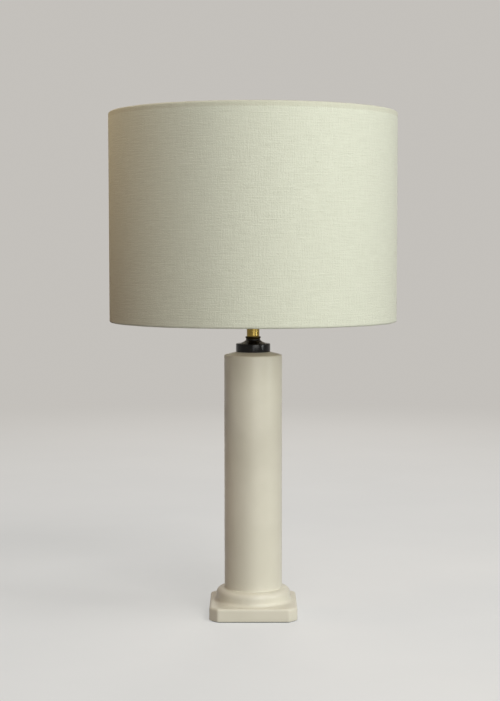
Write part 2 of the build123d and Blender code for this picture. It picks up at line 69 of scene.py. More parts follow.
plinth_half = high("column_body").x
foot_height = low("column_body").z
crown_height = high("column_body").z
shade_radius = high("shade_linen").x
shade_bottom = low("shade_linen").z
shade_top = high("shade_linen").z
liner_outer = high("shade_liner").x
wire_radius = (high("shade_top_ring").z - low("shade_top_ring").z) / 2
wire_circle = high("shade_top_ring").x - wire_radius
bottom_wire = low("shade_bottom_ring").z + wire_radius
top_wire = low("shade_top_ring").z + wire_radius
skirt_radius = high("holder_skirt").x
cup_radius = high("holder_cup").x
bulb_radius = high("bulb_glass").x
bulb_top = high("bulb_glass").z

# ---------------------------------------------------------------- sizes that the frame's boxes don't give

plinth_height = 16 * MM
plinth_cut = 10 * MM
plinth_edge = 3 * MM
foot_edge = 0.8 * MM
plinth_wall = 6 * MM
plinth_roof = 5 * MM
moulding_setback = 0.3 * MM
# The moulding is slightly smaller here than in the part, closer to the photograph
moulding_height = 16.2 * MM
moulding_rise = 8.6 * MM
cove_radius = 4.6 * MM
shaft_radius = 35.4 * MM
shaft_wall = 6 * MM
shoulder_round = 2 * MM
crown_rise = 3.9 * MM
crown_seat = 20 * MM
crown_wall = 5 * MM
spigot_hole = 9.9 * MM
rod_hole = 5.2 * MM
nut_radius = 27 * MM
edison_pitch = 3.62 * MM

linen = 0.7 * MM
liner = 0.5 * MM
hem_slack = 0.3 * MM
seam_width = 9 * MM

# ---------------------------------------------------------------- mesh tools


def rounded(points, steps=5, closed=False):
    """A line through (radius, height[, rounding]) points, with an arc where a corner has a rounding."""
    line = []
    for index, point in enumerate(points):
        here = np.array(point[:2], float)
        rounding = point[2] if len(point) > 2 else 0
        if not rounding or (not closed and index in (0, len(points) - 1)):
            line.append(tuple(here))
            continue
        before = np.array(points[index - 1][:2], float) - here
        after = np.array(points[(index + 1) % len(points)][:2], float) - here
        room = 0.49 * min(np.linalg.norm(before), np.linalg.norm(after))
        before /= np.linalg.norm(before)
        after /= np.linalg.norm(after)
        half_angle = acos(np.clip(before @ after, -1, 1)) / 2
        tangent = min(rounding / tan(half_angle), room)
        radius = tangent * tan(half_angle)
        middle = before + after
        centre = here + middle / np.linalg.norm(middle) * radius / sin(half_angle)
        start = here + before * tangent - centre
        end = here + after * tangent - centre
        turn = atan2(start[0] * end[1] - start[1] * end[0], start @ end)
        for step in range(steps + 1):
            angle = turn * step / steps
            line.append(
                (
                    centre[0] + start[0] * cos(angle) - start[1] * sin(angle),
                    centre[1] + start[0] * sin(angle) + start[1] * cos(angle),
                )
            )
    return line


def arc(centre, radius, start, end, steps):
    """Points on a circle of a section, from one angle to another in degrees."""
    angles = np.radians(np.linspace(start, end, steps + 1))
    return [(centre[0] + radius * cos(a), centre[1] + radius * sin(a)) for a in angles]


def ellipse_arc(centre, reach, rise, start, end, steps, fullness=2.0):
    """Points on an ellipse of a section, between angles in degrees; a fullness over 2 makes it squarer."""
    angles = np.radians(np.linspace(start, end, steps + 1))
    out = np.abs(np.cos(angles)) ** (2 / fullness)
    up = np.sign(np.sin(angles)) * np.abs(np.sin(angles)) ** (2 / fullness)
    return [(centre[0] + reach * x, centre[1] + rise * y) for x, y in zip(out, up)]


def divided(line, longest):
    """The line with its long runs cut into steps no longer than the given length."""
    out = [line[0]]
    for start, end in zip(line, line[1:]):
        parts = max(1, ceil(hypot(end[0] - start[0], end[1] - start[1]) / longest))
        for part in range(1, parts + 1):
            share = part / parts
            out.append((start[0] + (end[0] - start[0]) * share, start[1] + (end[1] - start[1]) * share))
    return out


def ring(angles, radius, height):
    """One ring of points round the axis; the radius is a number or one value for each angle."""
    return np.stack(
        [radius * np.cos(angles), radius * np.sin(angles), np.broadcast_to(height, angles.shape)], axis=1
    )


def rings_of(angles, line):
    """A ring for each (radius, height) of a line."""
    return [ring(angles, radius, height) for radius, height in line]


def circle(count):
    return np.linspace(0, tau, count, endpoint=False)


def skin(rings, closed):
    """Vertices and faces of a surface over rings with equal numbers of points."""
    count = len(rings[0])
    vertices = np.concatenate(rings)
    steps = len(rings) if closed else len(rings) - 1
    lower = np.arange(steps)[:, None] * count
    upper = ((np.arange(steps) + 1) % len(rings))[:, None] * count
    here = np.arange(count)[None, :]
    beyond = (np.arange(count) + 1)[None, :] % count
    faces = np.stack([lower + here, lower + beyond, upper + beyond, upper + here], axis=2)
    return vertices, faces.reshape(-1, 4)


def tube_along(points, radius, sides):
    """Vertices and faces of a closed tube along points; the radius is a number or one for each point."""
    points = [Vector(point) for point in points]
    radii = np.broadcast_to(radius, (len(points),))
    tangents = [
        (points[min(i + 1, len(points) - 1)] - points[max(i - 1, 0)]).normalized() for i in range(len(points))
    ]
    side = tangents[0].orthogonal().normalized()
    rings = []
    for point, tangent, reach in zip(points, tangents, radii):
        side = (side - tangent * side.dot(tangent)).normalized()
        other = tangent.cross(side)
        rings.append(
            np.array([point + (side * cos(a) + other * sin(a)) * reach for a in circle(sides)], float)
        )
    first, last = np.array([points[0]] * sides), np.array([points[-1]] * sides)
    return skin([first, *rings, last], closed=False)


def joined(shapes):
    """Several (vertices, faces) shapes as one."""
    vertices, faces, start = [], [], 0
    for some_vertices, some_faces in shapes:
        vertices.append(np.asarray(some_vertices, float))
        faces.extend([tuple(int(i) + start for i in face) for face in some_faces])
        start += len(some_vertices)
    return np.concatenate(vertices), faces


def piece(name, shape, material, turned=UNTURNED, sharp=32):
    """A mesh object from (vertices, faces), with doubles merged, normals outwards and smooth shading."""
    vertices, faces = shape
    mesh = bpy.data.meshes.new(name)
    mesh.from_pydata([tuple(v) for v in vertices], [], [tuple(int(i) for i in face) for face in faces])
    work = bmesh.new()
    work.from_mesh(mesh)
    bmesh.ops.remove_doubles(work, verts=work.verts, dist=1e-6)
    bmesh.ops.recalc_face_normals(work, faces=work.faces)
    work.to_mesh(mesh)
    work.free()
    mesh.transform(turned)
    mesh.polygons.foreach_set("use_smooth", np.ones(len(mesh.polygons), bool))
    mesh.set_sharp_from_angle(angle=radians(sharp))
    mesh.materials.append(material)
    new = bpy.data.objects.new(name, mesh)
    bpy.context.scene.collection.objects.link(new)
    return new


def lathe(profile, count=128, closed=True):
    """Vertices and faces of a section turned round the axis."""
    return skin(rings_of(circle(count), profile), closed)


def place(new, body, slot, *nodes):
    """Sets what a piece moves with and which CAD nodes it stands for; the finish slot is not used."""
    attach(new, body)
    if nodes:
        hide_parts(*nodes)
    return new


def cut_away(new, cutter):
    """Takes the cutter's space out of a piece."""
    cut = new.modifiers.new("cut", "BOOLEAN")
    cut.object = cutter
    cut.operation = "DIFFERENCE"
    cut.solver = "EXACT"
    bpy.context.view_layer.update()
    done = bpy.data.meshes.new_from_object(new.evaluated_get(bpy.context.evaluated_depsgraph_get()))
    new.modifiers.clear()
    new.data = done
    bpy.data.objects.remove(cutter)


# ---------------------------------------------------------------- shader tools


class Shader:
    """A material with a Principled shader, and short ways to add nodes to it."""

    def __init__(self, name, **settings):
        self.material = bpy.data.materials.new(name)
        self.material.use_nodes = True
        self.tree = self.material.node_tree
        self.principled = self.tree.nodes["Principled BSDF"]
        for socket, value in settings.items():
            self.principled.inputs[socket.replace("_", " ")].default_value = value

    def node(self, kind, inputs, **properties):
        """Adds a node; each input is a value or another node's output."""
        new = self.tree.nodes.new(kind)
        for name, value in properties.items():
            setattr(new, name, value)
        for key, value in inputs.items():
            socket = new.inputs[key]
            if isinstance(value, bpy.types.NodeSocket):
                self.tree.links.new(value, socket)
            else:
                socket.default_value = value
        return new

    def place(self):
        """The point's place in the lamp's own frame, in metres."""
        return self.node("ShaderNodeTexCoord", {}).outputs["Object"]

    def stretched(self, vector, scale):
        return self.node("ShaderNodeMapping", {"Vector": vector, "Scale": scale}).outputs["Vector"]

    def noise(self, vector, scale, detail=2.0, roughness=0.5):
        inputs = {"Vector": vector, "Scale": scale, "Detail": detail, "Roughness": roughness}
        return self.node("ShaderNodeTexNoise", inputs).outputs["Fac"]

    def math(self, operation, *values):
        node = self.node("ShaderNodeMath", dict(enumerate(values)), operation=operation)
        return node.outputs[0]

    def between(self, value, start, end, out_start=0.0, out_end=1.0):
        """Maps a range of a value smoothly to another range."""
        inputs = {"Value": value, "From Min": start, "From Max": end, "To Min": out_start, "To Max": out_end}
        return self.node("ShaderNodeMapRange", inputs, interpolation_type="SMOOTHSTEP").outputs["Result"]

    def mix(self, share, first, second):
        node = self.node("ShaderNodeMix", {"Factor": share}, data_type="RGBA")
        for socket, value in ((node.inputs[6], first), (node.inputs[7], second)):
            if isinstance(value, bpy.types.NodeSocket):
                self.tree.links.new(value, socket)
            else:
                socket.default_value = (*value, 1)
        return node.outputs[2]

    def bump(self, height, distance, strength=1.0, normal=None):
        inputs = {"Height": height, "Distance": distance, "Strength": strength}
        if normal is not None:
            inputs["Normal"] = normal
        return self.node("ShaderNodeBump", inputs).outputs["Normal"]

    def set(self, name, socket):
        self.tree.links.new(socket, self.principled.inputs[name])
        return self


def glazed_ceramic():
    """Satin off-white glaze, a little uneven in tone and thickness, with fine specks."""
    s = Shader("ceramic_glaze", Coat_Weight=0.25, Coat_Roughness=0.22)
    place = s.place()
    clouds = s.noise(place, 14.0, 3.0)
    specks = s.between(s.noise(place, 900.0, 1.0), 0.72, 0.8)
    body = s.mix(s.between(clouds, 0.35, 0.65), (0.685, 0.675, 0.56), (0.73, 0.72, 0.605))
    s.set("Base Color", s.mix(s.math("MULTIPLY", specks, 0.35), body, (0.4, 0.36, 0.28)))
    s.set("Roughness", s.between(s.noise(place, 60.0, 2.0), 0.3, 0.7, 0.4, 0.52))
    ripple = s.bump(s.noise(place, 45.0, 1.0), 0.0012, 0.25)
    s.set("Normal", s.bump(s.noise(place, 700.0, 2.0), 0.00012, 0.3, ripple))
    return s.material


def cloth_place(s, seam_azimuth):
    """Place on the shade's cloth in metres: round the drum from the seam, and up."""
    turned = s.node("ShaderNodeMapping", {"Vector": s.place(), "Rotation": (0, 0, pi - seam_azimuth)})
    split = s.node("ShaderNodeSeparateXYZ", {"Vector": turned.outputs["Vector"]})
    round_angle = s.math("ARCTAN2", split.outputs["Y"], split.outputs["X"])
    return s.math("MULTIPLY", round_angle, shade_radius), split.outputs["Z"]


def linen_cloth(seam_azimuth):
    """Natural linen: a plain weave of uneven yarns, with sparse thick slubs both ways."""
    s = Shader("linen_cloth", Roughness=0.92, Specular_IOR_Level=0.2, Sheen_Weight=0.15, Sheen_Roughness=0.6)
    along, up = cloth_place(s, seam_azimuth)
    cloth = s.node("ShaderNodeCombineXYZ", {"X": along, "Y": up}).outputs["Vector"]
    weft = s.noise(s.stretched(cloth, (42, 620, 1)), 1.0, 3.0, 0.6)
    warp = s.noise(s.stretched(cloth, (700, 50, 1)), 1.0, 3.0, 0.6)
    weft_slub = s.between(s.noise(s.stretched(cloth, (26, 620, 7)), 1.0, 0.5), 0.66, 0.78)
    warp_slub = s.between(s.noise(s.stretched(cloth, (700, 30, 7)), 1.0, 0.5), 0.69, 0.8)
    slub = s.math("MAXIMUM", weft_slub, s.math("MULTIPLY", warp_slub, 0.6))
    grain = s.noise(cloth, 620.0, 2.0, 0.6)
    # The plain weave: each yarn goes over one and under the next
    pitch = 0.85 * MM
    wander = s.math("MULTIPLY", s.noise(cloth, 90.0, 1.0), 0.9 * MM)
    turn_along = s.math("MULTIPLY", s.math("ADD", along, wander), pi / pitch)
    turn_up = s.math("MULTIPLY", s.math("ADD", up, wander), pi / pitch)
    over = s.math("MULTIPLY", s.math("SINE", turn_along), s.math("SINE", turn_up))
    weave = s.math("ABSOLUTE", over)
    tone = s.math("ADD", s.math("MULTIPLY", weft, 0.42), s.math("MULTIPLY", warp, 0.3))
    tone = s.math("ADD", tone, s.math("MULTIPLY", grain, 0.28))
    cloth_colour = s.mix(s.between(tone, 0.34, 0.66), (0.615, 0.65, 0.535), (0.69, 0.73, 0.61))
    cloth_colour = s.mix(s.math("MULTIPLY", slub, 0.03), cloth_colour, (0.42, 0.39, 0.27))
    # Painted shade: the turned-over top hem is darker, standing in for the light that shines less through its
    # doubled cloth and wire
    hem = s.between(s.math("SUBTRACT", shade_top, up), 5.8 * MM, 6.8 * MM, 1.0, 0.0)
    cloth_colour = s.mix(s.math("MULTIPLY", hem, 0.24), cloth_colour, (0.45, 0.42, 0.3))
    s.set("Base Color", cloth_colour)
    streaks = s.math("ADD", s.math("MULTIPLY", weft, 0.55), s.math("MULTIPLY", warp, 0.45))
    streaks = s.math("ADD", streaks, s.math("MULTIPLY", slub, 0.12))
    normal = s.bump(streaks, 0.0009, 0.75)
    normal = s.bump(grain, 0.0008, 0.5, normal)
    s.set("Normal", s.bump(weave, 0.0002, 0.3, normal))
    return s.material


def shade_liner_sheet():
    """White styrene lining behind the linen, with faint rolling marks."""
    s = Shader("liner_sheet", Roughness=0.55)
    place = s.place()
    streaks = s.noise(s.stretched(place, (30, 30, 4)), 1.0, 3.0)
    s.set("Base Color", s.mix(s.between(streaks, 0.3, 0.7), (0.76, 0.74, 0.65), (0.83, 0.81, 0.73)))
    s.set("Normal", s.bump(s.noise(place, 240.0, 2.0), 0.0002, 0.25))
    return s.material


def turned_metal(name, light, dark, roughness, lines=0.3, wear=0.35):
    """Metal with fine turning lines and a thin uneven patina."""
    s = Shader(name, Metallic=1.0)
    place = s.place()
    patina = s.between(s.noise(place, 45.0, 5.0, 0.6), 0.35, 0.7)
    colour = s.mix(s.math("MULTIPLY", patina, wear), light, dark)
    turning = s.noise(s.stretched(place, (40, 40, 5200)), 1.0, 2.0)
    s.set("Base Color", s.mix(s.math("MULTIPLY", turning, 0.2), colour, dark))
    s.set("Roughness", s.between(patina, 0.0, 1.0, roughness, min(1.0, roughness + 0.16)))
    s.set("Normal", s.bump(turning, 0.00005, lines))
    return s.material


def black_lacquer():
    """Black lacquer with a fine orange peel and a few dull rubs."""
    s = Shader("black_lacquer", Specular_IOR_Level=0.24)
    place = s.place()
    rubs = s.between(s.noise(place, 160.0, 4.0, 0.7), 0.55, 0.75)
    s.set("Base Color", s.mix(rubs, (0.004, 0.0036, 0.003), (0.012, 0.01, 0.008)))
    s.set("Roughness", s.between(rubs, 0.0, 1.0, 0.2, 0.3))
    s.set("Normal", s.bump(s.noise(place, 900.0, 2.0), 0.00008, 0.25))
    return s.material


def coated(name, light, dark, roughness, grain, depth):
    """A painted, moulded or fired surface with fine grain and small changes of tone."""
    s = Shader(name)
    place = s.place()
    tone = s.between(s.noise(place, 70.0, 4.0, 0.6), 0.3, 0.7)
    s.set("Base Color", s.mix(tone, light, dark))
    dulling = s.noise(place, grain / 3, 2.0)
    s.set("Roughness", s.between(dulling, 0.3, 0.7, roughness - 0.06, roughness + 0.08))
    s.set("Normal", s.bump(s.noise(place, grain, 3.0), depth, 0.5))
    return s.material


def opal_glass():
    """Opal white glass with a smooth, glossy outside."""
    s = Shader(
        "opal_glass", Coat_Weight=1.0, Coat_Roughness=0.04, Subsurface_Weight=0.2, Subsurface_Scale=0.004
    )
    place = s.place()
    cloud = s.between(s.noise(place, 30.0, 3.0), 0.3, 0.7)
    s.set("Base Color", s.mix(cloud, (0.78, 0.77, 0.72), (0.84, 0.83, 0.79)))
    s.set("Roughness", s.between(s.noise(place, 200.0, 2.0), 0.3, 0.7, 0.22, 0.32))
    s.set("Normal", s.bump(s.noise(place, 25.0, 1.0), 0.0004, 0.08))
    return s.material


def pressed_felt():
    """Dark wool felt, matted from short fibres."""
    s = Shader("pressed_felt", Roughness=1.0, Specular_IOR_Level=0.1, Sheen_Weight=0.3)
    place = s.place()
    fibres = s.noise(s.stretched(place, (1, 1, 3)), 1400.0, 4.0, 0.7)
    patches = s.noise(place, 120.0, 3.0)
    tone = s.math("ADD", s.math("MULTIPLY", fibres, 0.7), s.math("MULTIPLY", patches, 0.3))
    s.set("Base Color", s.mix(s.between(tone, 0.35, 0.65), (0.022, 0.02, 0.019), (0.075, 0.068, 0.062)))
    s.set("Normal", s.bump(fibres, 0.0004, 0.8))
    return s.material


seam_azimuth = radians(100)
ceramic = glazed_ceramic()
linen_material = linen_cloth(seam_azimuth)
liner_material = shade_liner_sheet()
brass = turned_metal("satin_brass", (0.34, 0.25, 0.07), (0.17, 0.11, 0.025), 0.12, wear=0.25)
# Painted shade: the collar's brass is made nearly black, standing in for the shade and dark reflections it
# shows under the lampshade
dark_brass = turned_metal("collar_brass_painted_shade", (0.05, 0.036, 0.012), (0.012, 0.009, 0.005), 0.34, wear=0.8)
zinc = turned_metal("zinc_steel", (0.6, 0.6, 0.59), (0.42, 0.41, 0.38), 0.32)
bronze = turned_metal("contact_bronze", (0.62, 0.36, 0.17), (0.3, 0.15, 0.06), 0.3)
nickel = turned_metal("bulb_metal", (0.72, 0.72, 0.7), (0.5, 0.49, 0.46), 0.22, lines=0.15, wear=0.2)
solder = turned_metal("solder", (0.55, 0.55, 0.53), (0.3, 0.3, 0.29), 0.42, lines=0.1, wear=0.6)
lacquer = black_lacquer()
white_wire = coated("white_coated_wire", (0.74, 0.73, 0.68), (0.68, 0.66, 0.6), 0.38, 900.0, 0.0001)
porcelain = coated("porcelain", (0.74, 0.72, 0.66), (0.68, 0.65, 0.58), 0.5, 1100.0, 0.00008)
black_glass = coated("bulb_black_glass", (0.012, 0.012, 0.013), (0.02, 0.019, 0.018), 0.18, 500.0, 0.00005)
grommet_plastic = coated("grommet_plastic", (0.014, 0.014, 0.014), (0.022, 0.021, 0.02), 0.5, 1200.0, 0.0001)
opal = opal_glass()
felt = pressed_felt()

# ---------------------------------------------------------------- ceramic column

plinth_top = foot_height + plinth_height
plinth_ceiling = plinth_top - plinth_roof
shaft_bottom = plinth_top + moulding_height
shaft_top = crown_height - crown_rise
CORNER_POWER = 111  # sets how rounded the plinth's upright edges are, about 4.5 mm


def plinth_reach(angles, inset):
    """How far the plinth's outline lies from the axis at each angle, with its cut corners."""
    side_distance = plinth_half - inset
    corner_distance = (2 * plinth_half - plinth_cut) / sqrt(2) - inset
    total = np.zeros_like(angles)
    for index in range(8):
        distance = side_distance if index % 2 == 0 else corner_distance
        facing = np.clip(np.cos(angles - index * pi / 4), 0, None)
        total += (facing / distance) ** CORNER_POWER
    return total ** (-1 / CORNER_POWER)


def column_angles(count):
    """Angles round the column, closer together at the plinth's corners."""
    even = circle(count)
    return even + 0.55 * np.sin(4 * even) / 4


def build_column():
    angles = column_angles(480)
    foot_radius = plinth_half - plinth_edge - moulding_setback
    moulding_radius = foot_radius - cove_radius
    moulding_centre = (shaft_radius, shaft_bottom - moulding_rise)
    top_of_moulding = ellipse_arc(
        moulding_centre, moulding_radius - shaft_radius, moulding_rise, 84, 0, 24, fullness=2.6
    )
    section = rounded(
        [
            (spigot_hole, crown_height - crown_wall),
            (spigot_hole, crown_height, 0.5 * MM),
            (crown_seat, crown_height, 0.8 * MM),
            (shaft_radius, shaft_top, shoulder_round),
            (shaft_radius, shaft_bottom, 0.7 * MM),
            top_of_moulding[0],
        ]
    )
    section = divided(section, 7 * MM) + top_of_moulding[1:]
    section += arc((foot_radius, plinth_top + cove_radius), cove_radius, 180, 270, 7)
    rings = rings_of(angles, section)
    last_circle = section[-1][0]
    edge = plinth_reach(angles, plinth_edge)
    for share in (0.35, 0.7):
        rings.append(ring(angles, last_circle + (edge - last_circle) * share, plinth_top))
    for turn in np.linspace(0, pi / 2, 8):
        inset = plinth_edge * (1 - sin(turn))
        rings.append(ring(angles, plinth_reach(angles, inset), plinth_top - plinth_edge * (1 - cos(turn))))
    for share in (0.33, 0.66):
        height = plinth_top - plinth_edge - (plinth_height - plinth_edge - foot_edge) * share
        rings.append(ring(angles, plinth_reach(angles, 0), height))
    for turn in np.linspace(0, pi / 2, 5):
        inset = foot_edge * (1 - cos(turn))
        rings.append(ring(angles, plinth_reach(angles, inset), foot_height + foot_edge * (1 - sin(turn))))
    inner = plinth_reach(angles, plinth_wall)
    bore = shaft_radius - shaft_wall
    rings += rings_of(angles, [(inner, foot_height), (inner, plinth_ceiling)])
    rings += rings_of(angles, [(bore, plinth_ceiling), (bore, crown_height - crown_wall)])
    column = piece("column_skin", skin(rings, closed=True), ceramic, sharp=50)
    # The thrown form is a little uneven, as hand-finished ware is
    for vertex in column.data.vertices:
        reach = hypot(vertex.co.x, vertex.co.y)
        if vertex.co.z > plinth_top and reach > crown_seat:
            unevenness = noise.noise(vertex.co * 22) * 0.12 * MM
            vertex.co.x += vertex.co.x / reach * unevenness
            vertex.co.y += vertex.co.y / reach * unevenness
    grommet_low, grommet_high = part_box("cable_grommet")
    hole_radius = 4.2 * MM
    hole_start, hole_end = 40 * MM, 60 * MM
    hole_height = (grommet_low.z + grommet_high.z) / 2
    hole = lathe(
        [(0, hole_start), (hole_radius, hole_start), (hole_radius, hole_end), (0, hole_end)], 48, closed=False
    )
    along_y = Matrix.Translation((0, 0, hole_height)) @ Matrix.Rotation(-pi / 2, 4, "X")
    cut_away(column, piece("cord_hole", hole, ceramic, turned=along_y))
    return place(column, "root", "ceramic", "column_body")


build_column()

# ---------------------------------------------------------------- felt pad


def build_felt_pad():
    low_corner, high_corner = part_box("felt_pad")
    angles = column_angles(240)
    inset = plinth_half - high_corner.x
    thickness = high_corner.z - low_corner.z
    edge = 0.35 * MM
    reach = plinth_reach(angles, inset)
    shares = (0, 0.3, 0.55, 0.75, 0.9)
    rings = [ring(angles, reach * share, low_corner.z) for share in shares]
    for extra, height in ((edge, 0), (0, edge), (0, thickness - edge), (edge, thickness)):
        rings.append(ring(angles, plinth_reach(angles, inset + extra), low_corner.z + height))
    rings += [ring(angles, reach * share, high_corner.z) for share in shares[::-1]]
    pad = piece("felt_sheet", skin(rings, closed=False), felt, sharp=80)
    return place(pad, "root", "felt", "felt_pad")


build_felt_pad()

# ---------------------------------------------------------------- cap, collar and stem


def build_neck():
    cap_low, cap_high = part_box("column_cap")
    cap_radius = cap_high.x
    cap_top = crown_height + 10.1 * MM
    spigot_radius = 9.7 * MM
    cone_foot, cone_middle, neck_radius = 16.8 * MM, 11.8 * MM, 8.8 * MM
    cap = rounded(
        [
            (rod_hole, cap_low.z),
            (spigot_radius, cap_low.z, 0.4 * MM),
            (spigot_radius, crown_height),
            (cap_radius, crown_height, 0.5 * MM),
            (cap_radius, cap_top, 1.0 * MM),
            (cone_foot, cap_top, 0.8 * MM),
            (cone_middle, cap_top + 1.9 * MM, 4.0 * MM),
            (neck_radius, cap_top + 4.1 * MM, 0.9 * MM),
            (neck_radius, cap_high.z, 0.25 * MM),
            (rod_hole, cap_high.z),
        ],
        steps=7,
        closed=True,
    )
    place(piece("cap_turned", lathe(cap, 192), lacquer, sharp=40), "root", "black_metal", "column_cap")
    collar_low, collar_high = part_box("stem_collar")
    collar_radius = collar_high.x - 0.4 * MM
    waist_radius = 8.6 * MM
    collar = rounded(
        [
            (rod_hole, collar_low.z),
            (waist_radius, collar_low.z, 0.3 * MM),
            (waist_radius + 0.1 * MM, collar_low.z + 0.9 * MM, 0.6 * MM),
            (collar_radius, collar_low.z + 1.8 * MM, 0.5 * MM),
            (collar_radius, collar_high.z, 0.6 * MM),
            (rod_hole, collar_high.z),
        ],
        closed=True,
    )
    place(piece("collar_turned", lathe(collar, 144), dark_brass), "root", "dark_brass", "stem_collar")
    stem_low, stem_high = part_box("brass_stem")
    stem_radius = stem_high.x
    stem_bore = stem_radius - 1 * MM
    stem = rounded(
        [
            (stem_bore, stem_low.z),
            (stem_radius, stem_low.z, 0.3 * MM),
            (stem_radius, stem_high.z, 0.3 * MM),
            (stem_bore, stem_high.z),
        ],
        closed=True,
    )
    place(piece("stem_tube", lathe(divided(stem, 2 * MM), 144), brass), "root", "brass", "brass_stem")


build_neck()

# ---------------------------------------------------------------- lampholder


def threaded(angles, crest, depth, pitch, bottom, top, steps_per_turn=10):
    """Rings of an outside or inside thread between two heights, with its ends run out."""
    rings = []
    count = max(2, ceil((top - bottom) / pitch * steps_per_turn))
    for height in np.linspace(bottom, top, count + 1):
        run_out = np.clip(min(height - bottom, top - height) / (0.6 * pitch), 0, 1)
        wave = 0.5 - 0.5 * np.cos(tau * height / pitch - angles)
        rings.append(ring(angles, crest - depth * wave * run_out, height))
    return rings


def build_holder_cup():
    cup_low, cup_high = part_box("holder_cup")
    boss_radius = 8.2 * MM
    boss_top = cup_low.z + 5 * MM
    dome_top = cup_high.z - 8 * MM
    wall = 1 * MM
    ledge_radius = 18 * MM
    outside = rounded(
        [(rod_hole, cup_low.z), (boss_radius, cup_low.z, 0.5 * MM), (boss_radius, boss_top - 0.6 * MM)]
    )
    dome = ellipse_arc((boss_radius, dome_top), cup_radius - boss_radius, dome_top - boss_top, -90, 0, 20)
    rim = rounded(
        [
            dome[-1],
            (cup_radius, dome_top + 1.2 * MM, 0.3 * MM),
            (cup_radius - 0.35 * MM, dome_top + 1.6 * MM, 0.2 * MM),
            (cup_radius, dome_top + 2.0 * MM, 0.3 * MM),
            (cup_radius, cup_high.z, 0.4 * MM),
            (cup_radius - wall, cup_high.z, 0.3 * MM),
            (cup_radius - wall, dome_top),
            (ledge_radius, dome_top),
        ]
    )
    inside = ellipse_arc(
        (boss_radius, dome_top), ledge_radius - boss_radius, dome_top - boss_top - wall, 0, -90, 14
    )
    section = outside + dome + rim[1:] + inside + [(rod_hole, boss_top + wall)]
    cup = piece("cup_spun", lathe(section, 192), brass, sharp=40)
    return place(cup, "root", "brass", "holder_cup")


def build_skirt():
    """The holder's skirt, with the thread that the ring nuts run on."""
    skirt_low, skirt_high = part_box("holder_skirt")
    angles = circle(192)
    wall = 1 * MM
    inner = skirt_radius - wall
    lip_inner = 16.4 * MM
    pitch = 1.9 * MM
    thread_depth = 0.35 * MM
    thread_bottom = skirt_low.z + 12.5 * MM
    thread_top = skirt_high.z - 2.5 * MM
    groove_radius = skirt_radius - thread_depth
    foot = [
        (inner, skirt_low.z),
        (skirt_radius - 0.2 * MM, skirt_low.z),
        (skirt_radius, skirt_low.z + 0.2 * MM),
        (skirt_radius, thread_bottom - 0.8 * MM),
        (groove_radius, thread_bottom - 0.5 * MM),
        (groove_radius, thread_bottom - 0.1 * MM),
    ]
    lip = rounded(
        [
            (skirt_radius, thread_top + 0.2 * MM),
            (skirt_radius, skirt_high.z, 0.8 * MM),
            (lip_inner, skirt_high.z, 0.4 * MM),
            (lip_inner, skirt_high.z - wall, 0.3 * MM),
            (inner, skirt_high.z - wall, 0.3 * MM),
            (inner, skirt_low.z + 1 * MM),
        ]
    )
    thread = threaded(angles, skirt_radius, thread_depth, pitch, thread_bottom, thread_top)
    rings = rings_of(angles, foot) + thread + rings_of(angles, lip)
    skirt = piece("skirt_threaded", skin(rings, closed=True), brass, sharp=50)
    return place(skirt, "root", "brass", "holder_skirt")


def build_ring_nut(node, name):
    """A flat ring nut with finger notches round its rim."""
    nut_low, nut_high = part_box(node)
    notch_count, notch_radius, edge = 12, 2 * MM, 0.7 * MM
    angles = circle(720)
    from_notch = (angles + pi / notch_count) % (tau / notch_count) - pi / notch_count

    def rim(inset):
        bite = notch_radius + inset
        across = nut_radius * np.abs(np.sin(from_notch))
        inside = np.maximum(bite**2 - across**2, 0)
        bitten = nut_radius * np.cos(from_notch) - np.sqrt(inside)
        return np.where(across < bite, np.minimum(bitten, nut_radius - inset), nut_radius - inset)

    bore = skirt_radius + 0.1 * MM
    face = nut_radius - 3.5 * MM
    chamfer = 0.3 * MM
    turns = np.linspace(0, pi / 2, 5)
    line = [(bore, nut_low.z + chamfer), (bore + chamfer, nut_low.z), (face, nut_low.z)]
    line += [(rim(edge * (1 - sin(turn))), nut_low.z + edge * (1 - cos(turn))) for turn in turns]
    line += [(rim(edge * (1 - cos(turn))), nut_high.z - edge * (1 - sin(turn))) for turn in turns]
    line += [(face, nut_high.z), (bore + chamfer, nut_high.z), (bore, nut_high.z - chamfer)]
    nut = piece(name, skin(rings_of(angles, line), closed=True), brass, sharp=45)
    return place(nut, "root", "brass", node)


def build_screw_shell():
    """The shell that the bulb screws into: an Edison thread pressed from sheet."""
    shell_low, shell_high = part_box("screw_shell")
    angles = circle(144)
    outer = shell_high.x
    thread_depth = 0.3 * MM
    sheet = 0.3 * MM
    floor_hole = 6 * MM
    outside = threaded(angles, outer, thread_depth, edison_pitch, shell_low.z, shell_high.z)
    inside = [ring_points.copy() for ring_points in outside]
    for ring_points in inside:
        reach = np.hypot(ring_points[:, 0], ring_points[:, 1])
        ring_points[:, :2] *= ((reach - sheet) / reach)[:, None]
    floor = rings_of(angles, [(floor_hole, shell_low.z + sheet), (floor_hole, shell_low.z)])
    inside[0][:, 2] += sheet
    rings = outside + inside[::-1] + floor
    shell = piece("shell_threaded", skin(rings, closed=True), brass, sharp=60)
    return place(shell, "root", "brass", "screw_shell")


def along_x(height):
    """Turns a lathe form onto the switch bar's axis."""
    return Matrix.Translation((0, 0, height)) @ Matrix.Rotation(pi / 2, 4, "Y")


